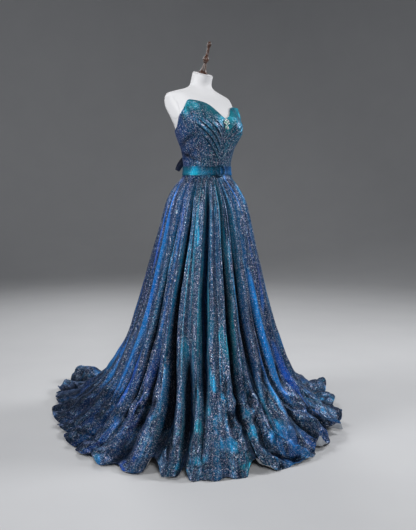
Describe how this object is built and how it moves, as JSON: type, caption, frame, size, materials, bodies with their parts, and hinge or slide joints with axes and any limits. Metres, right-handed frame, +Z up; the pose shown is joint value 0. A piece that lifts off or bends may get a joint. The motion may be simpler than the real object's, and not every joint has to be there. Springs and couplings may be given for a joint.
{
  "type": "evening dress on dress form",
  "caption": "Strapless evening dress with belt, gathered full skirt and sweep train, standing on a limbless dress form with a round base.",
  "frame": {"origin": "on the floor, on the axis of the stand's pole, at the underside of the base", "axes": "+Z up, -Y is the front of the dress, -X the dress's right side"},
  "size_m": [1.4331, 1.6644, 1.7293],
  "materials": {
    "glitter_cloth": "iridescent glitter, slate navy to teal and royal blue",
    "belt_satin": "teal satin with a soft shine",
    "ribbon": "dark navy satin ribbon",
    "form_white": "smooth white",
    "dark_wood": "turned and varnished",
    "stand_steel": "brushed",
    "crystal": "cut stones in a pale setting"
  },
  "bodies": {
    "root": {"skirt_back_right": "glitter_cloth", "skirt_side_back_right": "glitter_cloth", "skirt_side_front_right": "glitter_cloth", "skirt_front": "glitter_cloth", "skirt_side_front_left": "glitter_cloth", "skirt_side_back_left": "glitter_cloth", "skirt_back_left": "glitter_cloth", "bodice_front_right": "glitter_cloth", "bodice_front_left": "glitter_cloth", "bodice_side_right": "glitter_cloth", "bodice_side_left": "glitter_cloth", "bodice_back_right": "glitter_cloth", "bodice_back_left": "glitter_cloth", "modesty_panel": "ribbon", "belt": "belt_satin", "buckle_ring": "belt_satin", "buckle_bar": "belt_satin", "loop_tape_right": "ribbon", "loop_tape_left": "ribbon", "lace_one": "ribbon", "lace_two": "ribbon", "bow_knot": "ribbon", "bow_loop_right": "ribbon", "bow_loop_left": "ribbon", "bow_tail_right": "ribbon", "bow_tail_left": "ribbon", "form_torso": "form_white", "arm_plate_right": "form_white", "arm_plate_left": "form_white", "neck_cap": "form_white", "finial": "dark_wood", "stand_base": "stand_steel", "stand_collar": "stand_steel", "stand_pole": "stand_steel", "brooch": "crystal"}
  },
  "joints": []
}
